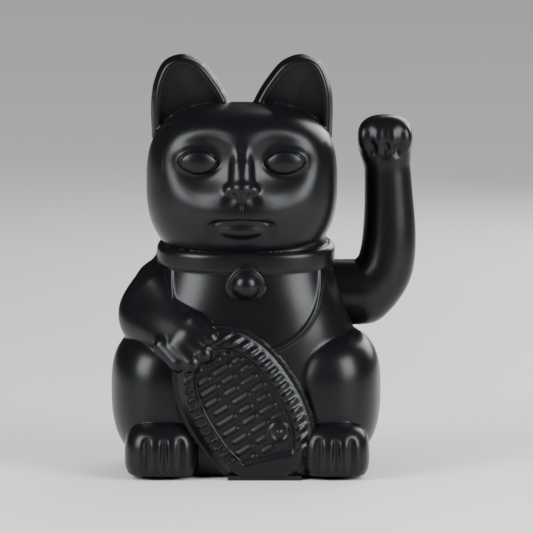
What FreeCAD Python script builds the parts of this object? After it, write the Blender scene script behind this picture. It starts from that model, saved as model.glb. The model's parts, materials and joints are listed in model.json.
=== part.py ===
"""Beckoning cat figurine with a battery-driven swinging arm.

The frame is in millimetres, +Z up, with the origin on the table at the middle of the base.
The cat faces -Y, and its beckoning arm is on the +X side and swings about an axis along X.

A two-part moulded shell (front and rear) stands on a base plate. The base plate carries the
battery bay, and a frame on top of the bay carries the drive: a pendulum with a magnet that
swings over a flat coil. The pendulum's axle leaves the shell at the shoulder, on the parting
line, and carries the hollow arm.
"""

import FreeCAD, Part
import math
import os

from FreeCAD import Matrix, Placement, Rotation, Vector

X = Vector(1, 0, 0)
Y = Vector(0, 1, 0)
Z = Vector(0, 0, 1)

# ---------------------------------------------------------------- the figure's outer shape
wall = 2.0  # moulded wall of the body shells
seat_gap = 0.3  # clearance of a piece that drops into a recess
foot_lift = 1.6  # height of the shells' rim above the table

body_half_width = 44.0
body_front = 35.0  # from the middle to the front of the torso
body_back = 36.0
body_height = 84.0  # to the throat, where the head begins
plan_power = 2.5  # 2 gives elliptical sections, more gives squarer ones

head_half_width = 34.4
head_front = 35.0
head_back = 28.0
head_bottom = body_height - 4.5
head_height = 52.5
head_x = -1.8  # the head sits a little towards the resting arm
plate_power = 2.6

# rows of height, half width, front and back, as shares of the sizes above
TORSO_ROWS = (
    (0.000, 0.920, 0.900, 0.880),
    (0.060, 1.000, 0.985, 0.970),
    (0.250, 1.010, 1.000, 1.000),
    (0.430, 0.960, 0.985, 0.975),
    (0.600, 0.885, 0.965, 0.900),
    (0.750, 0.790, 0.915, 0.800),
    (0.880, 0.700, 0.830, 0.715),
    (1.000, 0.655, 0.770, 0.670),
)
HEAD_ROWS = (
    (0.00, 0.720, 0.720, 0.720),
    (0.09, 0.880, 0.880, 0.860),
    (0.24, 0.965, 0.960, 0.950),
    (0.45, 1.000, 1.000, 1.000),
    (0.66, 0.985, 0.975, 0.985),
    (0.82, 0.900, 0.880, 0.890),
    (0.93, 0.700, 0.680, 0.680),
    (1.00, 0.360, 0.350, 0.340),
)

# rows of distance from the middle and height above the head's top, as shares
EAR_OUTLINE = (
    (0.08, -0.17),
    (0.17, 0.20),
    (0.28, 0.53),
    (0.44, 0.87),
    (0.65, 1.00),
    (0.84, 0.87),
    (0.95, 0.50),
    (0.99, 0.00),
    (1.00, -0.80),
)

haunch_radii = Vector(19.5, 29.0, 23.2)
haunch_outer = 49.0  # from the middle to the haunch's outer side
haunch_y = -7.0
haunch_z = 27.0
foot_size = Vector(27.0, 24.0, 19.0)
foot_front = 41.5
foot_x = 31.5
toe_pitch = 6.2
toe_groove = 0.9

collar_swell = 2.2  # how far the band stands out
collar_height = 8.0
collar_round = 2.4
collar_z = 78.0
bell_radius = 6.6
bell_z = 69.0

eye_x = 15.5
eye_z = 114.0

ear_thickness = 8.5
ear_tip_height = 17.6  # above the top of the head
ear_outer_x = 33.2  # from the head's middle to the ears' outer sides

coin_half_width = 19.7
coin_half_length = 31.0
coin_tilt = 32.0  # degrees from upright, its top towards the resting paw
coin_x = -0.5
coin_z = 25.5
coin_front = 40.0
coin_depth = 10.0
coin_rim = 3.6
coin_field_depth = 1.0

# ---------------------------------------------------------------- the swinging arm
parting_y = 4.0  # plane in which the shells and the arm's halves meet
pivot_z = 63.0
shoulder_radius = 11.9
shoulder_gap = 0.7  # between the arm and its seat in the body
shoulder_x = 30.0  # inner face of the arm
arm_wall = 1.6
forearm_x = 51.5  # middle of the forearm
forearm_radius = 8.5
paw_radii = Vector(9.8, 9.0, 10.2)
paw_top = 128.0
swing_limit = 25.0  # degrees each way

# ---------------------------------------------------------------- the drive
cell_diameter = 14.5  # a round dry cell of size AA
cell_length = 50.5
cell_gap = 0.5
spring_length = 6.5  # the contact spring, pressed
spring_wire = 0.6
spring_radius = 3.6
spring_turns = 5
contact_thickness = 0.4
bay_wall = 1.5
door_thickness = 1.5
door_recess = 0.3  # how far the door sits above the table
plate_thickness = 2.5
axle_diameter = 3.0
axle_running_gap = 0.04
bush_wall = 1.5
bush_flange = 0.6
frame_plate = 2.0
upright_thickness = 2.5
upright_inner_left = -9.5
upright_inner_right = 22.5
board_thickness = 1.2
board_lift = 0.8
coil_diameter = 17.0
coil_height = 5.2
magnet_diameter = 12.0
magnet_height = 4.0
magnet_gap = 2.2
cup_wall = 1.2  # of the lever's cup round the magnet
cup_roof = 1.6
lever_x = 7.0  # the pendulum hangs about midway between the uprights
lever_thickness = 5.0
lever_width = 6.0
weight_diameter = 11.0
weight_length = 11.0
weight_gap = 0.4  # between the counterweight and the magnet's cup
lead_diameter = 1.1
screw_diameter = 2.2
screw_head_diameter = 4.2
screw_head_height = 1.5
switch_travel = 3.0

# ---------------------------------------------------------------- heights and places that follow
cell_z = door_recess + door_thickness + cell_gap + cell_diameter / 2
bay_half_width = cell_diameter / 2 + cell_gap + bay_wall
bay_inner_half = (cell_length + spring_length + 2 * contact_thickness) / 2
bay_half_length = bay_inner_half + bay_wall
bay_roof = cell_z + cell_diameter / 2 + cell_gap
bay_top = bay_roof + bay_wall
frame_z = bay_top + seat_gap
frame_top = frame_z + frame_plate
board_z = frame_top + board_lift
board_top = board_z + board_thickness
coil_top = board_top + coil_height
magnet_z = coil_top + magnet_gap
cup_top = magnet_z + magnet_height + cup_roof
weight_z = cup_top + weight_gap + weight_diameter / 2
axle_radius = axle_diameter / 2
bush_radius = axle_radius + axle_running_gap + bush_wall
shell_bottom = foot_lift
plate_recess_top = plate_thickness + 0.1
floor_top = plate_recess_top + wall


def joined(shapes):
    """One solid from overlapping solids, with every face left as it is."""
    return shapes[0].multiFuse(list(shapes[1:])) if len(shapes) > 1 else shapes[0]


def fused(shapes):
    """One solid from overlapping solids, with faces in one plane made one."""
    return joined(shapes).removeSplitter()


def box(x0, x1, y0, y1, z0, z1):
    return Part.makeBox(x1 - x0, y1 - y0, z1 - z0, Vector(x0, y0, z0))


def rod(start, direction, radius, length):
    return Part.makeCylinder(radius, length, start, direction)


def ring(start, direction, outer, inner, length):
    return rod(start, direction, outer, length).cut(rod(start, direction, inner, length))


def ellipsoid(centre, radii):
    ball = Part.makeSphere(1.0)
    scale = Matrix()
    scale.scale(radii.x, radii.y, radii.z)
    shaped = ball.transformGeometry(scale)
    shaped.translate(centre)
    return shaped


def capsule(start, start_radius, end, end_radius):
    """A tapered limb with round ends, as one solid of revolution."""
    along = end.sub(start)
    length = along.Length
    slope = math.asin((start_radius - end_radius) / length)
    s, c = math.sin(slope), math.cos(slope)

    def at(height, radius, angle):
        return Vector(radius * math.cos(angle), 0, height + radius * math.sin(angle))

    low = at(0, start_radius, -math.pi / 2)
    low_side = at(0, start_radius, (slope - math.pi / 2) / 2)
    low_end = Vector(start_radius * c, 0, start_radius * s)
    high_start = Vector(end_radius * c, 0, length + end_radius * s)
    high_side = at(length, end_radius, (slope + math.pi / 2) / 2)
    high = at(length, end_radius, math.pi / 2)
    outline = Part.Wire(
        [
            Part.Arc(low, low_side, low_end).toShape(),
            Part.LineSegment(low_end, high_start).toShape(),
            Part.Arc(high_start, high_side, high).toShape(),
            Part.LineSegment(high, low).toShape(),
        ]
    )
    limb = Part.Face(outline).revolve(Vector(0, 0, 0), Z, 360)
    limb.Placement = Placement(start, Rotation(Z, along))
    return limb


def plan_wire(half_width, front, back, z, power, x=0.0, seam=0.0):
    """A closed squarish oval in a horizontal plane, from y=-front to y=back."""
    count = 24
    depth = (front + back) / 2
    middle = (back - front) / 2
    points = []
    for i in range(count):
        angle = 2 * math.pi * i / count + math.radians(seam)
        c, s = math.cos(angle), math.sin(angle)
        px = half_width * math.copysign(abs(c) ** (2 / power), c)
        py = depth * math.copysign(abs(s) ** (2 / power), s)
        points.append(Vector(x + px, middle + py, z))
    curve = Part.BSplineCurve()
    curve.interpolate(Points=points, PeriodicFlag=True)
    return Part.Wire(curve.toShape())


def lofted(rows, bottom, height, half_width, front, back, inset=0.0, x=0.0, lowest=None, seam=0.0):
    """A loft through ovals. inset moves every section inwards, as for the inside of a wall."""
    wires = []
    for share, wide, ahead, behind in rows:
        z = bottom + share * height
        if lowest is not None and share == rows[0][0]:
            z = lowest
        wires.append(
            plan_wire(
                wide * half_width - inset,
                ahead * front - inset,
                behind * back - inset,
                z,
                plan_power,
                x,
                seam,
            )
        )
    return Part.makeLoft(wires, True, False)


def plate_blank(half_width, front, back, z0, z1):
    """A flat plate with the base's outline."""
    face = Part.Face(plan_wire(half_width, front, back, z0, plate_power))
    return face.extrude(Vector(0, 0, z1 - z0))


def countersunk(point, head_depth, length):
    """Cutter for a screw from below: a wide hole for the head, then the shank's hole."""
    head = rod(point, Z, screw_head_diameter / 2 + 0.2, head_depth)
    shank = rod(point, Z, screw_diameter / 2 + 0.2, length)
    return head.fuse(shank)


def pan_screw(point, direction, length):
    """A screw whose head's outer face is at point, driven along direction."""
    head = rod(point, direction, screw_head_diameter / 2, screw_head_height)
    shank = rod(point, direction, screw_diameter / 2, screw_head_height + length)
    slot_length = screw_head_diameter * 0.6
    across = Y if abs(direction.dot(Z)) > 0.5 else Z
    side = direction.cross(across)
    corner = point.sub(across * (slot_length / 2)).sub(side * 0.25)
    slots = []
    for angle in (0, 90):
        blade = Part.makeBox(0.5, slot_length, 0.6)
        blade.Placement = Placement(corner, Rotation(side, across, direction, "XYZ"))
        blade.rotate(point, direction, angle)
        slots.append(blade)
    return head.fuse(shank).cut(slots[0].fuse(slots[1]))


def lead(points, diameter):
    """A wire's tube: straight runs joined by tangent arcs as large as the runs allow."""
    lengths = [points[i + 1].sub(points[i]).Length for i in range(len(points) - 1)]
    edges = []
    radii = []
    at = points[0]
    for i in range(1, len(points) - 1):
        before = points[i].sub(points[i - 1]).normalize()
        after = points[i + 1].sub(points[i]).normalize()
        turn = before.getAngle(after)
        reach = 0.45 * min(lengths[i - 1], lengths[i])
        radius = reach / math.tan(turn / 2)
        radii.append(round(radius, 1))
        first = points[i].sub(before * reach)
        last = points[i].add(after * reach)
        inward = after.sub(before).normalize()
        centre = points[i].add(inward * (radius / math.cos(turn / 2)))
        middle = centre.sub(inward * radius)
        edges.append(Part.LineSegment(at, first).toShape())
        edges.append(Part.Arc(first, middle, last).toShape())
        at = last
    edges.append(Part.LineSegment(at, points[-1]).toShape())
    path = Part.Wire(edges)
    start = points[1].sub(points[0])
    profile = Part.Wire(Part.makeCircle(diameter / 2, points[0], start))
    tube = path.makePipeShell([profile], True, False)
    expected = math.pi * diameter**2 / 4 * path.Length
    ratio = round(tube.Volume / expected, 3)
    print("lead radii", radii, "length", round(path.Length, 1), "volume ratio", ratio)
    return tube


# ---------------------------------------------------------------- body shells
def torso(inset=0.0):
    lowest = shell_bottom if inset == 0 else floor_top
    return lofted(
        TORSO_ROWS,
        shell_bottom,
        body_height - shell_bottom,
        body_half_width,
        body_front,
        body_back,
        inset,
        lowest=lowest,
    )


def head(inset=0.0):
    return lofted(
        HEAD_ROWS,
        head_bottom + inset,
        head_height - 2 * inset,
        head_half_width,
        head_front,
        head_back,
        inset,
        head_x,
        seam=20.0,
    )


def haunch(side, inset=0.0):
    centre = Vector(side * (haunch_outer - haunch_radii.x), haunch_y, haunch_z)
    return ellipsoid(centre, haunch_radii.sub(Vector(inset, inset, inset)))


def foot(side):
    """A bun-shaped foot with grooves between its toes."""
    middle = foot_size.y / 2 - foot_front
    wires = []
    for share, swell in ((0.0, 0.93), (0.2, 1.0), (0.6, 0.96), (0.85, 0.78), (1.0, 0.42)):
        z = shell_bottom + share * foot_size.z
        half = foot_size * (swell / 2)
        wires.append(plan_wire(half.x, half.y - middle, half.y + middle, z, plate_power, side * foot_x))
    bun = Part.makeLoft(wires, True, False)
    for i in (-1, 0, 1):
        start = Vector(side * foot_x + i * toe_pitch, -foot_front + 0.5, shell_bottom - 1)
        bun = bun.cut(rod(start, Vector(0, 0.25, 1), toe_groove, foot_size.z))
    return bun


def torso_size_at(z):
    """Half width, front and back of the torso at a height, between its rows."""
    share = (z - shell_bottom) / (body_height - shell_bottom)
    for low, high in zip(TORSO_ROWS, TORSO_ROWS[1:]):
        if low[0] <= share <= high[0]:
            t = (share - low[0]) / (high[0] - low[0])
            mixed = [a + t * (b - a) for a, b in zip(low, high)]
            return mixed[1] * body_half_width, mixed[2] * body_front, mixed[3] * body_back
    last = TORSO_ROWS[-1]
    return last[1] * body_half_width, last[2] * body_front, last[3] * body_back


def collar():
    """A soft-edged band round the neck."""
    wide, ahead, behind = torso_size_at(collar_z)
    low = collar_z - collar_height / 2
    sizes = [size + collar_swell for size in (wide, ahead, behind)]
    outline = plan_wire(*sizes, low, plan_power, seam=37.0)
    band = Part.Face(outline).extrude(Vector(0, 0, collar_height))
    return band.makeFillet(collar_round, [e for e in band.Edges if e.BoundBox.ZLength < 1.0])


def bell():
    wide, ahead, behind = torso_size_at(bell_z)
    return Part.makeSphere(bell_radius, Vector(0, -ahead, bell_z))


def coin():
    """The oval coin: a thick tilted disc with a raised rim."""
    turn = Rotation(Vector(0, 1, 0), -coin_tilt)

    def disc(half_width, half_length, front, depth):
        outline = Part.Ellipse(Vector(0, 0, 0), half_length, half_width)
        face = Part.Face(Part.Wire(outline.toShape()))
        solid = face.extrude(Vector(0, 0, depth))
        # the face lies in XZ with its long axis up, and its depth runs along +Y
        stand = Rotation(Vector(0, 0, 1), Vector(1, 0, 0), Vector(0, 1, 0), "XYZ")
        solid.Placement = Placement(Vector(coin_x, -front, coin_z), turn.multiply(stand))
        return solid

    body = disc(coin_half_width, coin_half_length, coin_front, coin_depth)
    field = disc(
        coin_half_width - coin_rim,
        coin_half_length - coin_rim,
        coin_front + 1.0,
        1.0 + coin_field_depth,
    )
    return body.cut(field)


def ear(side):
    """A rounded ear with a shallow hollow in front."""
    top = head_bottom + head_height
    heart = Vector(side * 0.62 * ear_outer_x, 0, top + 2.0)

    def outline(share):
        points = [Vector(side * x * ear_outer_x, 0, top + z * ear_tip_height) for x, z in EAR_OUTLINE]
        points.append(Vector(side * 0.5 * ear_outer_x, 0, top - 16.0))
        points = [heart.add(p.sub(heart) * share) for p in points]
        curve = Part.BSplineCurve()
        curve.interpolate(points[:-1])
        edges = [curve.toShape(), Part.LineSegment(points[-2], points[-1]).toShape()]
        edges.append(Part.LineSegment(points[-1], points[0]).toShape())
        return Part.Face(Part.Wire(edges))

    front = parting_y - ear_thickness / 2
    slab = outline(1.0).extrude(Vector(0, ear_thickness, 0))
    slab.translate(Vector(head_x, front, 0))
    hollow = outline(0.78).extrude(Vector(0, 3.0, 0))
    hollow.translate(Vector(head_x, front - 1.5, 0))
    return slab.cut(hollow)


def resting_arm():
    """The arm that holds the coin: upper arm, forearm and the web between them."""
    shoulder = Vector(-32.5, -3.0, 62.0)
    elbow = Vector(-34.5, -12.0, 53.0)
    armpit = Vector(-27.0, -18.0, 60.0)
    paw = Vector(-20.5, -34.0, 47.5)
    return [
        capsule(shoulder, 10.6, elbow, 10.8),
        capsule(elbow, 10.4, paw, 8.8),
        capsule(armpit, 8.4, paw.add(Vector(1.0, 0.5, 2.0)), 8.0),
    ]


def face():
    """Nose, the two swellings of the mouth, the chin and the eyes."""
    front = -head_front
    brow = Vector(head_x, front + 4.6, head_bottom + 33.0)
    tip = Vector(head_x, front + 1.8, head_bottom + 22.5)
    nose = capsule(brow, 3.2, tip, 4.2)
    parts = [nose, ellipsoid(Vector(head_x, front + 5.0, head_bottom + 11.0), Vector(8.0, 5.5, 5.0))]
    for s in (-1, 1):
        cheek = Vector(head_x + s * 5.2, front + 4.8, head_bottom + 17.0)
        parts.append(ellipsoid(cheek, Vector(7.4, 6.4, 5.6)))
        parts.append(ellipsoid(Vector(head_x + s * eye_x, front + 5.6, eye_z), Vector(6.6, 4.4, 4.0)))
    return parts


def tail():
    """A short tail curled against the back."""
    low = Vector(6.0, body_back - 3.0, 9.5)
    middle = Vector(24.0, body_back - 6.0, 12.0)
    tip = Vector(29.0, body_back - 8.0, 27.0)
    return [capsule(low, 6.0, middle, 5.6), capsule(middle, 5.6, tip, 4.6)]


def shoulder_seat(radius, depth_x):
    """The round pocket in the body's side that the arm turns in, or a thicker one behind it."""
    return rod(Vector(depth_x, parting_y, pivot_z), X, radius, 60.0)


def shells():
    figure = joined(
        [torso(), head(), haunch(-1), haunch(1), foot(-1), foot(1), collar(), bell(), coin()]
        + [ear(-1), ear(1)]
        + face()
        + resting_arm()
        + tail()
    )
    figure = figure.common(box(-80, 80, -80, 80, shell_bottom, 200))
    figure = figure.cut(shoulder_seat(shoulder_radius + shoulder_gap, shoulder_x - shoulder_gap))

    cavity = joined([torso(wall), head(wall), haunch(-1, wall), haunch(1, wall)])
    cavity = cavity.common(box(-80, 80, -80, 80, floor_top, 200))
    seat_back = shoulder_seat(shoulder_radius + shoulder_gap + wall, shoulder_x - shoulder_gap - wall)
    cavity = cavity.cut(seat_back)
    for x, y in base_screw_places():
        cavity = cavity.cut(rod(Vector(x, y, floor_top - 0.5), Z, 2.6, 8.0))

    body = figure.cut(cavity)
    body = body.cut(plate_opening(seat_gap, shell_bottom - 1, plate_recess_top))
    body = body.cut(bay_opening(0.0, shell_bottom - 1, floor_top + 1))
    body = body.cut(tongue(seat_gap, -1, foot_lift + 0.1))
    for x, y in base_screw_places():
        body = body.cut(rod(Vector(x, y, 0), Z, screw_diameter / 2, 11.0))
    axle_hole = rod(Vector(20, parting_y, pivot_z), X, axle_radius + 1.5, 30.0)
    body = body.cut(axle_hole)
    front_half = body.common(box(-90, 90, -90, parting_y, -10, 210))
    rear_half = body.common(box(-90, 90, parting_y, 90, -10, 210))
    return front_half, rear_half


# ---------------------------------------------------------------- base
plate_inset = 3.0  # from the torso's lowest section to the base plate
opening_inset = 8.2  # and to the shells' floor opening


def bottom_size(inset):
    row = TORSO_ROWS[0]
    return (
        row[1] * body_half_width - inset,
        row[2] * body_front - inset,
        row[3] * body_back - inset,
    )


def plate_opening(gap, z0, z1):
    wide, ahead, behind = bottom_size(plate_inset - gap)
    return plate_blank(wide, ahead, behind, z0, z1)


def bay_opening(gap, z0, z1):
    wide, ahead, behind = bottom_size(opening_inset + gap)
    return plate_blank(wide, ahead, behind, z0, z1)


def tongue(gap, z0, z1):
    """The plate's front lip, on which the coin's foot rests."""
    return box(-6.5 - gap, 20.0 + gap, -coin_front + 1.0 - gap, -20, z0, z1)


def base_screw_places():
    wide, ahead, behind = bottom_size((plate_inset + opening_inset) / 2)
    share = 0.5 ** (1 / plate_power)
    middle, depth = (behind - ahead) / 2, (behind + ahead) / 2
    return [(sx * wide * share, middle + sy * depth * share) for sx in (-1, 1) for sy in (-1, 1)]


post_x = 17.5
post_y = 16.5
post_radius = 3.0
pilot_depth = 8.0  # of the screw holes in the posts
door_end_left = -bay_half_length - 0.8
door_end_right = bay_half_length + 0.6
door_half_width = bay_half_width + 0.8
hinge_radius = door_thickness / 2
hinge_pin_radius = 0.5
hinge_pin_length = 1.3
hinge_pin_gap = 0.05
hinge_z = door_recess + hinge_radius
switch_y = 18.0
switch_half_length = 6.0
switch_half_width = 3.0
switch_height = 4.6
pin_height = 2.5
slider_half_length = 2.2
slider_half_width = 1.6


def post_places():
    """The posts that carry the drive frame."""
    return [(sx * post_x, sy * post_y) for sx in (-1, 1) for sy in (-1, 1)]


def door_recess_cut():
    """The opening under the bay, with room for the door's hinge end to turn."""
    return box(
        door_end_left - hinge_radius - seat_gap,
        door_end_right + seat_gap,
        -door_half_width - seat_gap,
        door_half_width + seat_gap,
        -1,
        door_recess + door_thickness + 0.1,
    )


def base_plate():
    plate = plate_opening(0.0, 0.0, plate_thickness)
    lip = tongue(0.0, 0.0, foot_lift)
    collar_outer = bay_opening(seat_gap, plate_thickness - 0.5, floor_top + 0.8)
    wide, ahead, behind = bottom_size(opening_inset + seat_gap + bay_wall)
    collar_inner = plate_blank(wide, ahead, behind, plate_thickness, floor_top + 2)
    tub = box(-bay_half_length, bay_half_length, -bay_half_width, bay_half_width, 0.5, bay_top)
    foot = plate_thickness - 0.5
    posts = [rod(Vector(x, y, foot), Z, post_radius, frame_z - foot) for x, y in post_places()]
    body = fused([plate, lip, collar_outer.cut(collar_inner), tub] + posts)
    half = bay_half_width - bay_wall
    body = body.cut(box(-bay_inner_half, bay_inner_half, -half, half, -1, bay_roof))
    body = body.cut(door_recess_cut())
    body = body.cut(hinge_pin(hinge_pin_radius + hinge_pin_gap))
    # slots in the bay's end walls, through which the contacts' tags come out
    for end in (-1, 1):
        x0 = min(end * bay_inner_half, end * (bay_half_length + 1))
        x1 = max(end * bay_inner_half, end * (bay_half_length + 1))
        tag_half = tag_half_width + 0.2
        body = body.cut(box(x0, x1, -tag_half, tag_half, bay_roof - 3.2, bay_roof))
    body = body.cut(
        box(
            -slider_half_length - switch_travel / 2 - seat_gap,
            slider_half_length + switch_travel / 2 + seat_gap,
            switch_y - slider_half_width - seat_gap,
            switch_y + slider_half_width + seat_gap,
            -1,
            plate_thickness + 1,
        )
    )
    for x, y in base_screw_places():
        body = body.cut(countersunk(Vector(x, y, -1), 1 + screw_head_height + 0.2, 12))
    for x, y in post_places():
        body = body.cut(rod(Vector(x, y, frame_z - pilot_depth), Z, screw_diameter / 2, pilot_depth + 1))
    return body


def hinge_pin(radius):
    """The door's pivots, which stand out at both sides."""
    reach = door_half_width + hinge_pin_length
    return rod(Vector(door_end_left, -reach, hinge_z), Y, radius, 2 * reach)


def battery_door():
    """Snap door: a hinge bead at one end, a springy latch tongue at the other."""
    plate = box(
        door_end_left,
        door_end_right,
        -door_half_width,
        door_half_width,
        door_recess,
        door_recess + door_thickness,
    )
    bead = rod(Vector(door_end_left, -door_half_width, hinge_z), Y, hinge_radius, 2 * door_half_width)
    grip = []
    for i in range(4):
        x = door_end_right - 6.0 - 2.0 * i
        grip.append(box(x, x + 0.8, -4.0, 4.0, -1, door_recess + 0.4))
    latch_slots = []
    for y in (-5.0, 5.0):
        latch_slots.append(box(door_end_right - 12.0, door_end_right + 1, y - 0.4, y + 0.4, -1, 5))
    # two ribs that keep the cell off the door
    rib_z = door_recess + door_thickness
    ribs = [box(x - 0.6, x + 0.6, -5.5, 5.5, rib_z - 0.2, rib_z + cell_gap - 0.1) for x in (-14.0, 8.0)]
    door = fused([plate, bead, hinge_pin(hinge_pin_radius)] + ribs)
    for cutter in grip + latch_slots:
        door = door.cut(cutter)
    return door


def switch_body():
    top = plate_thickness + switch_height
    case = box(
        -switch_half_length,
        switch_half_length,
        switch_y - switch_half_width,
        switch_y + switch_half_width,
        plate_thickness,
        top,
    )
    slot = box(
        -slider_half_length - switch_travel / 2 - 0.2,
        slider_half_length + switch_travel / 2 + 0.2,
        switch_y - slider_half_width - 0.2,
        switch_y + slider_half_width + 0.2,
        plate_thickness - 1,
        plate_thickness + 2.0,
    )
    pins = []
    for x in switch_pin_places():
        pins.append(box(x - 0.5, x + 0.5, switch_y - 0.2, switch_y + 0.2, top - 0.5, top + pin_height))
    return fused([case.cut(slot)] + pins)


def switch_pin_places():
    return (-3.6, 0.0, 3.6)


def switch_slider():
    """The thumb slider, at its left stop."""
    middle = -switch_travel / 2
    stem = box(
        middle - slider_half_length,
        middle + slider_half_length,
        switch_y - slider_half_width,
        switch_y + slider_half_width,
        0.7,
        plate_thickness + 1.8,
    )
    for i in range(3):
        x = middle - 1.3 + 1.1 * i
        stem = stem.cut(box(x, x + 0.4, switch_y - 3, switch_y + 3, 0, 1.1))
    return stem


# ---------------------------------------------------------------- battery and contacts
tag_half_width = 2.0
tag_drop = 1.4  # from the bay's roof to the top of the tags
positive_end = bay_inner_half - contact_thickness


def battery_cell():
    """The cell's can, with the nub at +X."""
    nub = 1.0
    can_length = cell_length - nub
    start = positive_end - cell_length
    can = rod(Vector(start, 0, cell_z), X, cell_diameter / 2, can_length)
    can = can.makeFillet(0.5, [e for e in can.Edges if isinstance(e.Curve, Part.Circle)])
    top = rod(Vector(start + can_length - 0.5, 0, cell_z), X, 2.6, nub + 0.5)
    return can.fuse(top)


def contact(end):
    """A flat contact with a tag bent out through the bay's end wall."""
    inner = end * (bay_inner_half - contact_thickness)
    outer = end * bay_inner_half
    x0, x1 = min(inner, outer), max(inner, outer)
    half = bay_half_width - bay_wall - 1.0
    plate = box(x0, x1, -half, half, cell_z - 5.5, bay_roof - 0.4)
    tag_x = sorted((inner, end * (bay_half_length + 2.2)))
    tag_top = bay_roof - tag_drop
    tag_low = tag_top - contact_thickness
    tag = box(tag_x[0], tag_x[1], -tag_half_width, tag_half_width, tag_low, tag_top)
    return plate.fuse(tag).removeSplitter()


def battery_spring():
    """The contact spring, pressed between the cell and its plate."""
    length = spring_length - spring_wire
    helix = Part.makeHelix(length / spring_turns, length, spring_radius)
    profile = Part.Wire(Part.makeCircle(spring_wire / 2, Vector(spring_radius, 0, 0), Y))
    coil = Part.Wire(helix).makePipeShell([profile], True, True)
    start = Vector(-bay_inner_half + contact_thickness + spring_wire / 2, 0, cell_z)
    coil.Placement = Placement(start, Rotation(Z, X))
    return coil


# ---------------------------------------------------------------- drive frame and board
def mechanism_frame():
    left = upright_inner_left - upright_thickness
    right = upright_inner_right + upright_thickness
    half_depth = post_y + post_radius + 0.5
    floor = box(-post_x - post_radius - 0.5, right + 1.0, -half_depth, half_depth, frame_z, frame_top)
    solids = [floor]
    for x in (left, upright_inner_right):
        foot_half, knee_half, top_half = 13.0, stop_y() + 2.6, bush_radius + 2.0
        knee_z = pivot_z - stop_drop
        outline = Part.makePolygon(
            [
                Vector(x, parting_y - foot_half, frame_top - 0.5),
                Vector(x, parting_y + foot_half, frame_top - 0.5),
                Vector(x, parting_y + knee_half, knee_z),
                Vector(x, parting_y + top_half, pivot_z),
                Vector(x, parting_y - top_half, pivot_z),
                Vector(x, parting_y - knee_half, knee_z),
                Vector(x, parting_y - foot_half, frame_top - 0.5),
            ]
        )
        solids.append(Part.Face(outline).extrude(Vector(upright_thickness, 0, 0)))
        solids.append(rod(Vector(x, parting_y, pivot_z), X, top_half, upright_thickness))
    for s in (-1, 1):
        start = Vector(left, parting_y + s * stop_y(), pivot_z - stop_drop)
        solids.append(rod(start, X, stop_radius, right - left))
    for x, y in board_post_places():
        solids.append(rod(Vector(x, y, frame_top - 0.5), Z, 1.8, board_lift + 0.5))
    body = fused(solids)
    for x in (left, upright_inner_right):
        body = body.cut(rod(Vector(x - 1, parting_y, pivot_z), X, bush_radius, upright_thickness + 2))
    for x, y in post_places():
        body = body.cut(rod(Vector(x, y, frame_z - 1), Z, screw_diameter / 2 + 0.2, frame_plate + 3))
    for x, y in board_post_places():
        body = body.cut(rod(Vector(x, y, frame_z - 1), Z, screw_diameter / 2, 6))
    return body


stop_drop = 10.0  # the stops lie this far below the axle
stop_radius = 1.5


def stop_y():
    """Where the lever's flank meets the stop bar at the end of the swing."""
    touch = swing_limit + 0.6
    angle = touch
    for _ in range(30):
        reach = stop_drop / math.cos(math.radians(angle))
        angle = touch + math.degrees(math.asin((lever_width / 2 + stop_radius) / reach))
    return stop_drop * math.tan(math.radians(angle))


board_x0 = upright_inner_left + 1.5
board_x1 = upright_inner_right - 1.5
board_half_depth = 10.0


def board_post_places():
    inset = 2.6
    front = (board_x0 + inset, parting_y - board_half_depth + inset)
    rear = (board_x1 - inset, parting_y + board_half_depth - inset)
    return front, rear


def circuit_board():
    front, rear = parting_y - board_half_depth, parting_y + board_half_depth
    board = box(board_x0, board_x1, front, rear, board_z, board_top)
    for x, y in board_post_places():
        board = board.cut(rod(Vector(x, y, board_z - 1), Z, screw_diameter / 2 + 0.2, 4))
    return board


def coil_bobbin():
    start = Vector(lever_x, parting_y, board_top)
    flange = 0.8
    outer = coil_diameter / 2
    low = rod(start, Z, outer, flange)
    core = rod(start, Z, 3.0, coil_height)
    high = rod(start.add(Z * (coil_height - flange)), Z, outer, flange)
    return fused([low, core, high]).cut(rod(start.sub(Z), Z, 1.8, coil_height + 2))


def coil_winding():
    start = Vector(lever_x, parting_y, board_top + 0.8)
    return ring(start, Z, coil_diameter / 2 - 0.6, 3.0, coil_height - 1.6)


def drive_chip():
    """A small moulded chip with four legs a side."""
    x, y = board_x0 + 3.4, parting_y + 2.0
    case = box(x - 2.5, x + 2.5, y - 2.0, y + 2.0, board_top + 0.3, board_top + 1.8)
    legs = []
    for i in range(4):
        leg_x = x - 1.9 + 1.27 * i
        for side in (y - 2.0, y + 2.0):
            legs.append(box(leg_x - 0.2, leg_x + 0.2, side - 0.9, side + 0.9, board_top, board_top + 0.5))
    return fused([case] + legs)


def capacitor():
    x, y = board_x1 - 3.1, parting_y - board_half_depth + 3.4
    can = rod(Vector(x, y, board_top), Z, 2.5, 6.5)
    groove = ring(Vector(x, y, board_top + 1.0), Z, 3.0, 2.3, 0.5)
    return can.cut(groove)


def resistors():
    x = board_x1 - 2.6
    blocks = []
    for i in range(3):
        y = parting_y - 2.5 + 2.5 * i
        blocks.append(box(x - 1.0, x + 1.0, y - 0.6, y + 0.6, board_top, board_top + 0.5))
    return Part.makeCompound(blocks)


# ---------------------------------------------------------------- axle, bushes and pendulum
axle_left = upright_inner_left - upright_thickness - 3.0
hub_length = 11.0


def bearing_bush(outer_face, direction):
    """A flanged bush pushed into an upright from outside."""
    start = Vector(outer_face, parting_y, pivot_z)
    sleeve = rod(start, direction, bush_radius, upright_thickness)
    lip = rod(start.sub(direction * bush_flange), direction, bush_radius + 1.0, bush_flange)
    bore = rod(start.sub(direction * 2), direction, axle_radius + axle_running_gap, upright_thickness + 4)
    return sleeve.fuse(lip).cut(bore)


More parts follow.
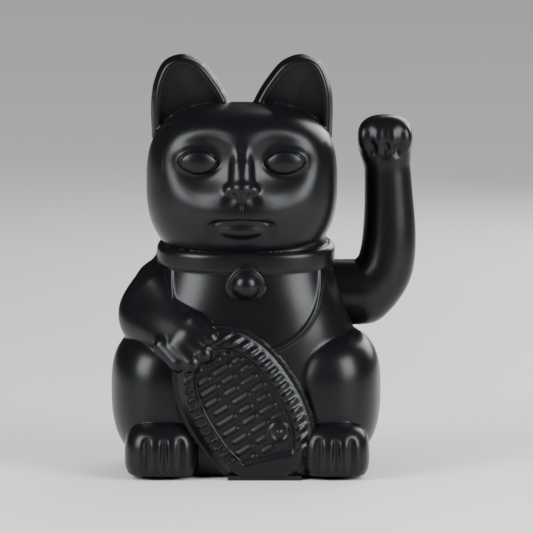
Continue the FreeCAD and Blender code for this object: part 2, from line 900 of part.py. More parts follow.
def axle():
    end = shoulder_x + hub_length - 1.0
    shaft = rod(Vector(axle_left, parting_y, pivot_z), X, axle_radius, end - axle_left)
    return shaft.makeChamfer(0.3, [shaft.Edges[0], shaft.Edges[2]])


def axle_clips():
    """Two spring clips that keep the axle in place endways."""
    clips = []
    for x in (upright_inner_left - upright_thickness - bush_flange - 1.0, upright_inner_right - 1.0):
        clip = ring(Vector(x, parting_y, pivot_z), X, 3.4, axle_radius, 0.6)
        gap = box(x - 1, x + 2, parting_y - 0.9, parting_y + 0.9, pivot_z, pivot_z + 6)
        clips.append(clip.cut(gap))
    return Part.makeCompound(clips)


def pendulum_lever():
    x0 = lever_x - lever_thickness / 2
    boss = rod(Vector(x0, parting_y, pivot_z), X, 5.0, lever_thickness)
    stem = box(
        x0,
        x0 + lever_thickness,
        parting_y - lever_width / 2,
        parting_y + lever_width / 2,
        cup_top - 0.5,
        pivot_z,
    )
    eye = rod(Vector(x0, parting_y, weight_z), X, weight_diameter / 2 + 1.8, lever_thickness)
    cup_low = magnet_z + 0.6
    cup = rod(Vector(lever_x, parting_y, cup_low), Z, magnet_diameter / 2 + cup_wall, cup_top - cup_low)
    pocket = rod(Vector(lever_x, parting_y, magnet_z - 1), Z, magnet_diameter / 2, magnet_height + 1)
    body = fused([boss, stem, eye, cup]).cut(pocket)
    body = body.cut(rod(Vector(x0 - 1, parting_y, weight_z), X, weight_diameter / 2, lever_thickness + 2))
    return body.cut(rod(Vector(x0 - 1, parting_y, pivot_z), X, axle_radius, lever_thickness + 2))


def counterweight():
    start = Vector(lever_x - weight_length / 2, parting_y, weight_z)
    slug = rod(start, X, weight_diameter / 2, weight_length)
    return slug.makeChamfer(0.6, [slug.Edges[0], slug.Edges[2]])


def magnet():
    disc = rod(Vector(lever_x, parting_y, magnet_z), Z, magnet_diameter / 2, magnet_height)
    return disc.makeChamfer(0.3, [disc.Edges[0], disc.Edges[2]])


# ---------------------------------------------------------------- beckoning arm
def arm_solid(inset=0.0):
    """The arm from the shoulder face round the elbow to the paw, or its inside."""
    r = shoulder_radius
    reach = forearm_x - shoulder_x
    stations = (
        (0.00 * reach, 0.0, 90.0, r),
        (0.40 * reach, 0.0, 90.0, r),
        (0.93 * reach, 5.2, 43.0, 1.08 * r),
        (1.00 * reach, 17.5, 0.0, 1.20 * forearm_radius),
        (1.00 * reach, 32.0, -1.0, 1.02 * forearm_radius),
        (0.98 * reach, 44.0, -3.0, 0.97 * forearm_radius),
        (0.95 * reach, 53.0, -3.0, 0.97 * forearm_radius),
    )
    wires = []
    for along, up, lean, radius in stations:
        centre = Vector(shoulder_x + along, parting_y, pivot_z + up)
        if inset and along == 0:
            centre = centre.add(X * inset)
        tilt = math.radians(lean)
        normal = Vector(math.sin(tilt), 0, math.cos(tilt))
        wires.append(Part.Wire(Part.makeCircle(radius - inset, centre, normal)))
    limb = Part.makeLoft(wires, True, False)
    paw_centre = Vector(forearm_x - 1.3, parting_y - 0.8, paw_top - paw_radii.z)
    paw = ellipsoid(paw_centre, paw_radii.sub(Vector(inset, inset, inset)))
    return limb.fuse(paw)


def arm_halves():
    hollow = arm_solid().cut(arm_solid(arm_wall))
    socket = rod(Vector(shoulder_x + arm_wall - 0.5, parting_y, pivot_z), X, 6.5, 6.0)
    hollow = hollow.fuse(socket)
    hollow = hollow.cut(rod(Vector(shoulder_x - 1, parting_y, pivot_z), X, hub_radius, hub_length + 1))
    front = hollow.common(box(0, 90, -60, parting_y, 0, 200))
    rear = hollow.common(box(0, 90, parting_y, 60, 0, 200))
    return front, rear


hub_radius = 4.0


def arm_hub():
    """The plug that fixes the arm on the axle."""
    plug = rod(Vector(shoulder_x, parting_y, pivot_z), X, hub_radius, hub_length)
    plug = plug.makeChamfer(0.5, [plug.Edges[0], plug.Edges[2]])
    return plug.cut(rod(Vector(shoulder_x - 1, parting_y, pivot_z), X, axle_radius, hub_length))


# ---------------------------------------------------------------- screws and leads
def base_screws():
    return Part.makeCompound([pan_screw(Vector(x, y, 0.15), Z, 7.5) for x, y in base_screw_places()])


def frame_screws():
    top = frame_top + screw_head_height
    return Part.makeCompound([pan_screw(Vector(x, y, top), Z * -1, 7.5) for x, y in post_places()])


def board_screws():
    top = board_top + screw_head_height
    return Part.makeCompound([pan_screw(Vector(x, y, top), Z * -1, 3.6) for x, y in board_post_places()])


def lead_routes():
    """The three insulated leads: cell to switch, switch to board, cell to board."""
    tag_z = bay_roof - tag_drop + lead_diameter / 2
    out = bay_half_length + 1.4
    pin_top = plate_thickness + switch_height + pin_height + lead_diameter / 2
    pins = switch_pin_places()
    board_z_pad = board_top + lead_diameter / 2
    return {
        "lead_cell_to_switch": [
            Vector(-out, 0.5, tag_z),
            Vector(-out - 0.4, 6.0, tag_z + 0.2),
            Vector(-out + 1.6, bay_half_width + 2.75, tag_z - 1.4),
            Vector(-out + 6.5, 17.5, tag_z - 3.2),
            Vector(-out + 13.0, 21.4, tag_z - 4.6),
            Vector(pins[0] - 7.6, 21.0, pin_top + 0.6),
            Vector(pins[0] - 3.2, switch_y + 0.4, pin_top),
            Vector(pins[0] + 0.4, switch_y, pin_top),
        ],
        "lead_switch_to_board": [
            Vector(pins[2] - 0.4, switch_y, pin_top),
            Vector(pins[2] + 3.4, switch_y + 0.2, pin_top + 0.1),
            Vector(pins[2] + 6.4, switch_y + 2.8, pin_top + 3.0),
            Vector(pins[2] + 5.8, switch_y + 4.2, pin_top + 8.0),
            Vector(pins[2] + 3.0, switch_y + 4.2, board_top - 0.6),
            Vector(pins[2] - 1.2, switch_y + 1.4, board_top + 2.6),
            Vector(pins[2] - 4.6, switch_y - 2.6, board_top + 2.2),
            Vector(pins[2] - 6.2, switch_y - 5.6, board_z_pad),
        ],
        "lead_cell_to_board": [
            Vector(out, -0.5, tag_z),
            Vector(out, -5.0, tag_z),
            Vector(out - 0.6, -bay_half_width - 0.35, tag_z + 1.6),
            Vector(out - 2.6, -bay_half_width - 3.95, tag_z + 5.2),
            Vector(out - 6.4, -bay_half_width - 5.15, tag_z + 8.8),
            Vector(board_x1 + 0.2, -12.4, board_top + 3.2),
            Vector(board_x1 - 4.4, -8.6, board_top + 2.2),
            Vector(board_x1 - 7.2, -5.0, board_z_pad),
        ],
    }


def coil_leads():
    """The winding's two fine ends, down to their pads."""
    start_z = board_top + 0.8 + 0.25
    ends = []
    for s in (-1, 1):
        x = lever_x + s * (coil_diameter / 2 - 1.4)
        y = parting_y + 5.2
        points = [
            Vector(x, y, start_z),
            Vector(x + s * 1.0, y + 0.8, start_z + 0.1),
            Vector(x + s * 1.8, y + 1.8, board_top + 0.5),
            Vector(x + s * 2.2, y + 3.0, board_top + 0.2),
        ]
        ends.append(lead(points, 0.35))
    return Part.makeCompound(ends)


# ---------------------------------------------------------------- write every piece
def build():
    front_shell, rear_shell = shells()
    arm_front, arm_rear = arm_halves()
    left_face = upright_inner_left - upright_thickness
    right_face = upright_inner_right + upright_thickness
    parts = {
        "front_shell": front_shell,
        "rear_shell": rear_shell,
        "base_plate": base_plate(),
        "battery_door": battery_door(),
        "battery_cell": battery_cell(),
        "contact_positive": contact(1),
        "contact_negative": contact(-1),
        "battery_spring": battery_spring(),
        "switch_body": switch_body(),
        "switch_slider": switch_slider(),
        "mechanism_frame": mechanism_frame(),
        "circuit_board": circuit_board(),
        "drive_chip": drive_chip(),
        "capacitor": capacitor(),
        "resistors": resistors(),
        "coil_bobbin": coil_bobbin(),
        "coil_winding": coil_winding(),
        "coil_leads": coil_leads(),
        "bush_left": bearing_bush(left_face, X),
        "bush_right": bearing_bush(right_face, X * -1),
        "axle": axle(),
        "axle_clips": axle_clips(),
        "pendulum_lever": pendulum_lever(),
        "counterweight": counterweight(),
        "magnet": magnet(),
        "arm_front_half": arm_front,
        "arm_rear_half": arm_rear,
        "arm_hub": arm_hub(),
        "base_screws": base_screws(),
        "frame_screws": frame_screws(),
        "board_screws": board_screws(),
    }
    for name, points in lead_routes().items():
        parts[name] = lead(points, lead_diameter)
    os.makedirs("parts", exist_ok=True)
    for name, shape in parts.items():
        shape.exportStep(f"parts/{name}.step")
        solids, volume = len(shape.Solids), round(shape.Volume, 1)
        print(name, "solids", solids, "valid", shape.isValid(), "volume", volume)


build()
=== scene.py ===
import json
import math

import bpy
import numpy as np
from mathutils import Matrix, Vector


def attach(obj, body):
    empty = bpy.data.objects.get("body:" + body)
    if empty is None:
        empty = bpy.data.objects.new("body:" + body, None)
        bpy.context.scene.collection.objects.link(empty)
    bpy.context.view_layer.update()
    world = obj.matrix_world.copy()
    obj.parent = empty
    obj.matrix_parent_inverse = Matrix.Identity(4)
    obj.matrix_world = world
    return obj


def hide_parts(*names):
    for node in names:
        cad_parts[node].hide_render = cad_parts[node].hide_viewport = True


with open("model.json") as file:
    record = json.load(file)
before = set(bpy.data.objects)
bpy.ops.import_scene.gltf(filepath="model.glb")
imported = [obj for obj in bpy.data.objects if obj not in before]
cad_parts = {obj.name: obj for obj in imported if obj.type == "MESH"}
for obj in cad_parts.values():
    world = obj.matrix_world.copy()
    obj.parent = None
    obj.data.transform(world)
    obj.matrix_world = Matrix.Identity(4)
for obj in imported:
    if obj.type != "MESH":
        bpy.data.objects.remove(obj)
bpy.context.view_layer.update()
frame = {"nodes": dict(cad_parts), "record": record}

# A seated cat figurine in satin-black plastic. The shells and the beckoning arm are sculpted as
# distance fields: a field is a function that takes points (rows of x, y, z in millimetres) and
# returns how far each lies outside the surface. A field becomes a closed mesh, which is hollowed,
# cut along the parting plane and put in the place of its CAD node. The pieces of the mechanism
# stay as they are in CAD and get their materials here.

MM = 0.001

# ---------------------------------------------------------------- sizes, in millimetres
parting_y = 4.0
seam_gap = 0.09  # between the moulded halves
foot_lift = 1.6
wall = 2.0
arm_wall = 1.6
pivot = np.array((30.0, parting_y, 63.0))
arm_radius = 11.9  # at the shoulder
arm_gap = 0.7  # between the arm and its seat in the body
axle_hole_radius = 3.0  # in the body's shells
hub_hole_radius = 4.0  # in the arm's inner face
plate_inset, plate_recess_top = 2.7, 2.6  # the base plate's recess in the shells
opening_inset, opening_top = 8.2, 7.0  # and the opening over it
cavity_floor = 4.6
tongue_left, tongue_right, tongue_front, tongue_back = -6.8, 20.3, -38.8, -20.0
tongue_gap = 0.1  # over the base plate's tongue, which lies under the coin

torso_half, torso_front, torso_back = 44.0, 35.0, 36.0
torso_top = 84.0
plan_power = 2.5
TORSO_ROWS = (
    (0.000, 0.920, 0.900, 0.880),
    (0.060, 1.000, 0.985, 0.970),
    (0.250, 1.010, 1.000, 1.000),
    (0.430, 0.960, 0.985, 0.975),
    (0.600, 0.885, 0.965, 0.900),
    (0.750, 0.790, 0.915, 0.800),
    (0.880, 0.700, 0.830, 0.715),
    (1.000, 0.655, 0.770, 0.670),
)
head_middle = np.array((-1.5, -3.5, 104.0))
head_half, head_front, head_back = 34.5, 31.0, 31.5
head_up, head_down = 28.4, 30.6
head_x = head_middle[0]
eye_side, eye_z = 15.4, 113.9  # from the face's middle plane, and above the table

EAR_OUTLINE = (
    (2.6, -3.0),
    (5.7, 3.6),
    (9.4, 9.4),
    (14.6, 15.3),
    (21.6, 17.7),
    (28.0, 15.3),
    (31.5, 8.8),
    (32.9, 0.0),
    (32.6, -13.0),
)
ear_base_z = 132.0
ear_half_thickness = 4.4
ear_draft = 0.34  # how fast the ear's sides lean in towards its front and back

collar_z = 78.1
coin_middle = np.array((-0.5, -40.0, 25.5))
coin_half_width, coin_half_length = 19.7, 31.2
coin_tilt = math.radians(32)
coin_tooth_pitch = 3.3
coin_edging_width = 6.0  # of the scallops and the comb, from the outline in

# the boxes that the sculpted surfaces lie in, the grid in each, and the meshes' triangles
figure_box, figure_step = ((-53, -47, -3), (53, 41, 153)), 0.43
cavity_box, cavity_step = ((-50, -42, 2), (50, 40, 136)), 1.2
arm_box, arm_step, arm_cavity_step = ((28, -11, 49), (64, 18, 130)), 0.4, 0.9
figure_triangles = 225000
arm_triangles = 90000
reach = 90  # further than any piece, for the cutters


# ---------------------------------------------------------------- fields
def smooth_min(a, b, k):
    """The lesser of two fields, blended where they differ by less than k."""
    h = np.maximum(k - np.abs(a - b), 0.0) / k
    return np.minimum(a, b) - h * h * h * k / 6.0


def joined(a, b, k):
    """The union, with a fillet that grows with k."""
    return smooth_min(a, b, k)


def carved(a, b, k):
    """a without b, with its edge rounded by k."""
    return -smooth_min(-a, b, k)


def common(a, b, k):
    """What a and b share, with its edge rounded by k."""
    return -smooth_min(-a, -b, k)


def ellipsoid(p, middle, radii):
    q = (p - np.asarray(middle, np.float32)) / np.asarray(radii, np.float32)
    near = np.linalg.norm(q, axis=1)
    slope = np.linalg.norm(q / np.asarray(radii, np.float32), axis=1)
    return near * (near - 1.0) / np.maximum(slope, 1e-6)


def superellipsoid(p, middle, radii, plan, side):
    """radii are half width, front, back, up and down; plan and side say how square it is."""
    half, front, back, up, down = radii
    x, y, z = (p - np.asarray(middle, np.float32)).T
    depth = np.where(y < 0, front, back)
    height = np.where(z > 0, up, down)
    u = np.maximum(np.abs(x) / half, 1e-4)
    v = np.maximum(np.abs(y) / depth, 1e-4)
    w = np.maximum(np.abs(z) / height, 1e-4)
    s = (u**plan + v**plan) ** (1 / plan)
    g = (s**side + w**side) ** (1 / side)
    ds = (s / g) ** (side - 1)
    gx = ds * (u / s) ** (plan - 1) / half
    gy = ds * (v / s) ** (plan - 1) / depth
    gz = (w / g) ** (side - 1) / height
    return (g - 1.0) / np.sqrt(gx * gx + gy * gy + gz * gz)


def limb(p, start, end, start_radius, end_radius):
    """A tapered rod with round ends."""
    a = np.array(start, np.float32)
    b = np.array(end, np.float32)
    q = p - a
    d = b - a
    t = np.clip(q @ d / (d @ d), 0.0, 1.0)
    away = q - t[:, None] * d
    return np.linalg.norm(away, axis=1) - (start_radius + t * (end_radius - start_radius))


def oval(x, y, half, front, back, power):
    """Distance in a plane to a squarish oval, which reaches from -front to back along y."""
    depth = (front + back) / 2
    u = np.maximum(np.abs(x) / half, 1e-4)
    v = np.maximum(np.abs(y - (back - front) / 2) / depth, 1e-4)
    q = (u**power + v**power) ** (1 / power)
    slope = q ** (1 - power) * np.hypot(u ** (power - 1) / half, v ** (power - 1) / depth)
    return (q - 1.0) / slope


def rounded_band(across, along, half_along, radius):
    """The section of a band or disc with round edges: across is the distance out of its face."""
    a = across + radius
    b = np.abs(along) - half_along + radius
    outside = np.hypot(np.maximum(a, 0), np.maximum(b, 0))
    return outside + np.minimum(np.maximum(a, b), 0) - radius


def ridge(distance, width):
    """1 on a line and 0 away from it."""
    return np.exp(-((distance / width) ** 2))


def step_up(value, low, high):
    """0 below low and 1 above high, with a smooth rise between them."""
    t = np.clip((value - low) / (high - low), 0.0, 1.0)
    return t * t * (3 - 2 * t)


def within(low, high):
    """Makes a change to a field apply only inside a box, which saves time."""

    def wrap(change):
        def apply(p, d):
            inside = np.all((p > low) & (p < high), axis=1)
            if inside.any():
                d[inside] = change(p[inside], d[inside])
            return d

        return apply

    return wrap


def smooth_table(rows):
    """Torso rows as a smooth table of height against half width, front and back."""
    pitch, spread, tail_length = 0.5, 3.0, 12.0
    z = np.arange(-30.0, 130.0, pitch)
    heights = [foot_lift + row[0] * (torso_top - foot_lift) for row in rows]
    offsets = np.arange(-tail_length, tail_length + pitch, pitch)
    kernel = np.exp(-0.5 * (offsets / spread) ** 2)
    kernel /= kernel.sum()
    columns = []
    for i, size in ((1, torso_half), (2, torso_front), (3, torso_back)):
        column = np.interp(z, heights, [row[i] * size for row in rows])
        padded = np.pad(column, len(kernel) // 2, mode="edge")
        columns.append(np.convolve(padded, kernel, mode="valid"))
    return z, columns


torso_z, torso_columns = smooth_table(TORSO_ROWS)


def torso_size(z):
    return [np.interp(z, torso_z, column).astype(np.float32) for column in torso_columns]


def torso(p):
    x, y, z = p.T
    half, front, back = torso_size(z)
    side = oval(x, y, half, front, back, plan_power) * 0.97
    return common(side, z - torso_top - 2.0, 3.0)


def head(p):
    radii = (head_half, head_front, head_back, head_up, head_down)
    crown, jaw, plan = 2.85, 2.6, 2.45  # how square each is
    side = np.where(p[:, 2] > head_middle[2], crown, jaw)
    return superellipsoid(p, head_middle, radii, plan, side)


def haunches(p, d):
    for s in (-1, 1):
        middle, radii = (s * 29.4, -7.0, 30.5), (19.3, 27.2, 31.0, 21.6, 27.0)
        thigh = superellipsoid(p, middle, radii, 2.25, 2.7)
        d = joined(d, thigh, 1.6)
    return d


@within((-30, -50, 96), (30, -15, 134))
def eye_sockets(p, d):
    for s in (-1, 1):
        hollow = ellipsoid(p, (head_x + s * eye_side, -38.0, 115.2), (13.7, 11.2, 12.0))
        d = carved(d, hollow, 12.0)
    return d


def shoulder_seat(p, extra):
    x, y, z = p.T
    across = np.hypot(y - pivot[1], z - pivot[2]) - arm_radius - arm_gap - extra
    return np.maximum(across, pivot[0] - arm_gap - extra - x)


def body_form(p):
    """The figure's plain form, which the inside of the wall follows too."""
    d = joined(torso(p), head(p), 1.0)
    d = haunches(p, d)
    return eye_sockets(p, d)


# ---------------------------------------------------------------- face
@within((-14, -50, 96), (11, -15, 132))
def nose(p, d):
    across = np.abs(p[:, 0] - head_x)
    brow, bend, tip_end = (head_x, -24.4, 122.5), (head_x, -30.2, 112.0), (head_x, -31.4, 106.8)
    bridge = joined(limb(p, brow, bend, 4.0, 3.9), limb(p, bend, tip_end, 3.9, 4.5), 1.0)
    d = joined(d, bridge, 1.6)
    above = step_up(p[:, 2], 110.0, 116.0)
    below = step_up(-p[:, 2], -123.0, -118.0)
    d = d + 0.4 * ridge(across, 1.2) * above * below
    tip = ellipsoid(p, (head_x, -33.0, 105.2), (4.4, 4.6, 3.0))
    pad = ellipsoid(p, (head_x, -32.6, 103.0), (3.0, 4.2, 3.4))
    d = joined(d, joined(tip, pad, 2.5), 1.8)
    for s in (-1, 1):
        wing = ellipsoid(p, (head_x + s * 4.2, -32.0, 104.2), (2.3, 3.2, 2.1))
        d = joined(d, wing, 1.8)
        nostril = ellipsoid(p, (head_x + s * 4.4, -38.4, 101.2), (2.4, 3.2, 1.8))
        d = carved(d, nostril, 2.8)
    return d


@within((-30, -50, 76), (27, -15, 116))
def muzzle(p, d):
    swell = ellipsoid(p, (head_x, -25.0, 95.6), (16.0, 10.8, 9.5))
    d = joined(d, swell, 6.0)
    for s in (-1, 1):
        hollow = ellipsoid(p, (head_x + s * 5.4, -39.2, 100.6), (2.8, 3.6, 2.2))
        d = carved(d, hollow, 2.4)
    x, y, z = p.T
    across = x - head_x
    d = d + 0.28 * ridge(across, 0.5) * step_up(z, 92.6, 94.6) * step_up(-z, -102.6, -100.4)
    # the upper lip hangs over the mouth's line, which droops to deeper corners
    half_mouth, mouth_z, droop = 11.4, 94.0, 1.9
    share = np.clip(np.abs(across) / half_mouth, 0.0, 1.4)
    line_z = mouth_z - droop * share**2
    corner = step_up(share, 0.35, 0.85)
    fade = step_up(-share, -1.2, -0.8)
    overhang = step_up(line_z - z, -0.5, 0.6) * step_up(z, 83.5, 90.5)
    d = d + fade * (1.1 * overhang + 0.9 * corner * ridge(z - line_z, 0.9))
    lip = ellipsoid(p, (head_x, -31.0, 90.0), (8.0, 3.8, 3.2))
    return joined(d, lip, 1.6)


@within((-28, -50, 104), (25, -15, 124))
def eyes(p, d):
    for s in (-1, 1):
        lean = math.radians(3.0) * s
        x = p[:, 0] - (head_x + s * eye_side)
        z = p[:, 2] - eye_z
        along = x * math.cos(lean) + z * math.sin(lean)
        up = z * math.cos(lean) - x * math.sin(lean)
        turned = np.stack((along, p[:, 1], up), 1)
        lid = ellipsoid(turned, (0, -25.2, 0), (8.6, 4.5, 5.6))
        d = joined(d, lid, 3.4)
        # an almond outline, with a fine groove round the ball
        half_length, half_height, narrowing = 6.5, 3.7, 0.014
        almond = np.hypot(along / half_length, up / (half_height - narrowing * along**2))
        outside = (almond - 1.0) * 4.6
        d = d + 0.6 * ridge(outside - 0.25, 0.5) * (p[:, 1] < -18)
        ball = ellipsoid(turned, (0, -24.9, 0), (9.0, 6.1, 7.2))
        ball = common(ball, outside, 0.5)
        d = joined(d, ball, 0.25)
    return d


# ---------------------------------------------------------------- ears
def curve_through(points, per_span=8):
    """Points on a smooth curve through the given points."""
    p = np.array(points, float)
    padded = np.vstack((2 * p[0] - p[1], p, 2 * p[-1] - p[-2]))
    out = []
    for i in range(len(p) - 1):
        a, b, c, e = padded[i : i + 4]
        square = 2 * a - 5 * b + 4 * c - e
        cube = 3 * b - a - 3 * c + e
        for t in np.arange(per_span) / per_span:
            out.append(0.5 * (2 * b + (c - a) * t + square * t * t + cube * t**3))
    out.append(p[-1])
    return np.array(out)


def swept(p, path, per_span=20):
    """A limb along a smooth path, given as points with a radius each."""
    stations = curve_through(path, per_span)
    pieces = [limb(p, a[:3], b[:3], a[3], b[3]) for a, b in zip(stations, stations[1:])]
    return np.minimum.reduce(pieces)


def outline_distance(x, z, outline):
    """Signed distance in a plane to a closed outline, negative inside."""
    best = np.full(x.shape, 1e9, np.float32)
    inside = np.zeros(x.shape, bool)
    ends = np.roll(outline, -1, axis=0)
    for (ax, az), (bx, bz) in zip(outline, ends):
        dx, dz = bx - ax, bz - az
        t = np.clip(((x - ax) * dx + (z - az) * dz) / (dx * dx + dz * dz), 0.0, 1.0)
        best = np.minimum(best, (x - ax - t * dx) ** 2 + (z - az - t * dz) ** 2)
        if az != bz:
            crosses = (az > z) != (bz > z)
            inside ^= crosses & (x < dx * (z - az) / (bz - az) + ax)
    distance = np.sqrt(best)
    return np.where(inside, -distance, distance)


# closed off below, inside the head
ear_outline = np.vstack((curve_through(EAR_OUTLINE), ((14.0, -18.0),)))


@within((-42, -6, 112), (40, 16, 156))
def ears(p, d):
    x, y, z = p.T
    flat = outline_distance(np.abs(x - head_x), z - ear_base_z, ear_outline)
    off_parting = y - parting_y
    side = flat + ear_draft * np.abs(off_parting)
    ear = rounded_band(side, off_parting, ear_half_thickness, 0.9)
    rim, depth, crown = 2.0, 1.5, 0.09
    dish = ear_half_thickness - depth + crown * np.minimum(flat + rim, 0.0)
    hollow = np.maximum(side + rim, off_parting + dish)
    ear = carved(ear, hollow, 0.8)
    return joined(d, ear, 0.8)


# ---------------------------------------------------------------- neck and front
@within((-40, -45, 66), (40, 45, 90))
def collar(p, d):
    x, y, z = p.T
    swell = 2.1
    half, front, back = (size[0] + swell for size in torso_size(np.array([collar_z])))
    out = oval(x, y, half, front, back, plan_power)
    band = rounded_band(out, z - collar_z - 0.035 * y, 4.0, 2.2)
    return joined(d, band, 0.45)


@within((-12, -48, 58), (12, -18, 80))
def bell(p, d):
    middle = np.array((0.0, -31.0, 69.6))
    disc = ellipsoid(p, middle + (0, 0.2, 0), (6.8, 2.7, 6.8))
    d = joined(d, disc, 0.5)
    around = np.hypot(p[:, 0] - middle[0], p[:, 2] - middle[2])
    d = d + 0.5 * ridge(around - 5.5, 0.45) * (p[:, 1] < -25)
    ball = ellipsoid(p, middle, (5.1, 5.0, 5.1))
    return joined(d, ball, 0.3)


@within((-32, -48, 40), (32, -12, 76))
def bib(p, d):
    """The bib's raised edge, and the slight step inside it."""
    x, y, z = p.T
    edge = oval(x, z - 72.0, 27.2, 26.6, 26.6, 2.25)
    lift = 0.85 * ridge(edge, 0.75) + 0.4 * step_up(-edge, -0.3, 0.9)
    return d - lift * step_up(-y, 14.0, 18.0)


# ---------------------------------------------------------------- legs, arm and tail
# x of the middle, half width, and x of the grooves between the toes
FEET = (
    (31.9, 12.6, (26.4, 32.4, 38.0)),
    (-30.3, 13.4, (-35.6, -29.4, -23.4)),
)
HOLDING_ARM_PATH = (
    (-30.2, -2.6, 65.6, 10.4),
    (-35.0, -8.0, 56.0, 11.2),
    (-28.6, -20.5, 52.2, 10.2),
    (-20.8, -30.6, 48.6, 9.0),
)
HOLDING_TOES = (
    (-13.0, -36.6, 51.0),
    (-15.2, -38.4, 45.6),
    (-19.6, -38.8, 42.4),
    (-24.4, -37.4, 42.4),
)


@within((-48, -48, -8), (48, -8, 26))
def feet(p, d):
    for x, half, grooves in FEET:
        foot = superellipsoid(p, (x, -27.6, 8.0), (half, 13.9, 14.0, 12.6, 10.2), 3.0, 2.8)
        for groove_x in grooves:
            slot = limb(p, (groove_x, -41.9, 3.5), (groove_x, -40.6, 14.0), 1.5, 0.8)
            foot = carved(foot, slot, 2.6)
        d = joined(d, foot, 0.7)
    return d


@within((-52, -48, 30), (2, 20, 86))
def holding_arm(p, d):
    arm = swept(p, HOLDING_ARM_PATH)
    upper_edge = limb(p, (-30.4, -10.6, 64.6), (-17.6, -30.4, 50.4), 8.8, 8.3)
    arm = joined(arm, upper_edge, 6.0)
    toes = None
    for tip in np.array(HOLDING_TOES):
        toe = limb(p, tip + (-5.4, 3.4, 5.4), tip, 3.5, 3.5)
        toes = toe if toes is None else joined(toes, toe, 1.3)
    arm = joined(arm, toes, 3.0)
    # a crisp crease against the chest, and a soft shoulder at the back
    return joined(d, arm, 1.2 + 6.0 * step_up(p[:, 1], -14.0, 4.0))


@within((-6, 18, -8), (44, 48, 42))
def tail(p, d):
    path = (
        (5.0, 33.0, 9.0, 5.0),
        (15.0, 33.4, 8.6, 5.4),
        (24.0, 30.8, 12.0, 5.4),
        (29.0, 28.0, 19.5, 5.0),
        (29.0, 27.0, 27.0, 4.2),
    )
    return joined(d, swept(p, path, 12), 1.6)


# ---------------------------------------------------------------- coin
def coin_axes(x, z):
    """Distances from the coin's middle along its width and its length."""
    dx, dz = x - coin_middle[0], z - coin_middle[2]
    c, s = math.cos(coin_tilt), math.sin(coin_tilt)
    return dx * c + dz * s, dz * c - dx * s


def bars(u, w):
    """Rows of raised bars across the coin's field, as heights from 0 to 1."""
    pitch, half_thickness = 4.1, 0.6
    row = np.floor((w + pitch / 2) / pitch)
    off_row = w - row * pitch
    height = np.zeros_like(u)
    shift = 1.9 * np.sin(row * 2.3)
    for start, end in ((-10.8, -6.6 + 2.2), (-2.2, 3.4), (5.6, 10.6)):
        middle = (start + end) / 2 + shift * 0.5
        half = (end - start) / 2 - 0.6 + 0.5 * np.sin(row * 4.1 + start)
        away = np.hypot(np.maximum(np.abs(u - middle) - half, 0.0), off_row)
        height = np.maximum(height, step_up(-away, -half_thickness - 0.55, -half_thickness + 0.35))
    return height


@within((-40, -48, -8), (36, -20, 60))
def coin(p, d):
    """An upright coin: scallops on its right edge, a comb on its left, and a plain lower end."""
    x, y, z = p.T
    u, w = coin_axes(x, z)
    edge = oval(u, w, coin_half_width, coin_half_length, coin_half_length, 2.2)
    right = step_up(u, -1.5, 1.5)
    plain_end = step_up(w + 0.35 * u, -21.0, -18.5)
    teeth = np.cos(w * (2 * math.pi / coin_tooth_pitch))
    inner = -coin_edging_width
    scallops = step_up(-edge, 0.4, 2.2) * step_up(edge, inner, -4.6) * right * 0.32 * teeth
    comb = step_up(-edge, 2.2, 3.0) * step_up(edge, inner, -5.6) * step_up(teeth, 0.3, 0.9)
    comb = np.maximum(comb, 0.85 * ridge(edge - inner, 0.55)) * (1 - right)
    edging = (scallops + comb) * plain_end
    field_depth = 1.1 * step_up(-edge, 6.1, 7.0) * plain_end
    bevel = 2.6 * step_up(edge, -3.2 - 2.4 * right, 0.4) ** 1.3
    in_field = step_up(-edge, 7.6, 8.4) * step_up(w + 0.35 * u, -19.0, -17.5)
    stamp_u, stamp_w, stamp_radius = 6.4, -13.4, 3.2
    stamp = np.hypot(u - stamp_u, w - stamp_w)
    ring = ridge(stamp - stamp_radius, 0.65) + ridge(stamp, 1.0)
    pattern = np.maximum(bars(u, w) * step_up(stamp, 4.6, 5.4), ring)
    dome = 0.9 * ((u / coin_half_width) ** 2 + (w / coin_half_length) ** 2)
    front = coin_middle[1] - 0.4 + dome + bevel + field_depth - edging - 0.8 * in_field * pattern
    face = (front - y) * 0.86
    slab = np.maximum(np.maximum(face, edge), y + 29.0)
    backing = np.maximum(np.maximum(-36.6 + 0.5 * dome - y, edge - 1.4), y + 27.0)
    d = joined(d, backing, 0.5)
    return joined(d, slab, 0.35)


def figure(p):
    """The whole outside of the body and head."""
    p = p.astype(np.float32)
    d = body_form(p)
    for feature in (muzzle, nose, eyes, ears, bib, collar, bell, feet, coin, holding_arm, tail):
        d = feature(p, d)
    d = np.maximum(d, -shoulder_seat(p, 0.0))
    return np.maximum(d, -1.0 - p[:, 2])


def body_hollow(p):
    """The inside of the body's wall."""
    p = p.astype(np.float32)
    d = np.maximum(body_form(p), -shoulder_seat(p, 0.0)) + wall
    return common(d, cavity_floor - p[:, 2], 1.0)


# ---------------------------------------------------------------- beckoning arm
paw_middle = (50.3, parting_y - 0.8, 119.8)
paw_front = 8.2  # from its middle

# x, z and radius from the shoulder round the elbow to the wrist
ARM_PATH = (
    (42.3, 63.05, 11.87),
    (46.2, 66.1, 11.0),
    (49.8, 71.2, 10.4),
    (51.4, 77.6, 10.0),
    (51.9, 86.0, 9.5),
    (51.7, 97.0, 8.8),
    (51.1, 110.0, 8.2),
)


def arm_form(p):
    x, y, z = p.T
    around = np.hypot(y - pivot[1], z - pivot[2])
    half_length = 6.2
    shoulder = rounded_band(around - arm_radius, x - pivot[0] - half_length, half_length, 0.8)
    path = [(along, parting_y, up, radius) for along, up, radius in ARM_PATH]
    d = np.minimum(shoulder, swept(p, path))
    paw = superellipsoid(p, paw_middle, (9.9, paw_front, 8.8, 7.9, 12.4), 2.4, 2.4)
    return joined(d, paw, 4.0)


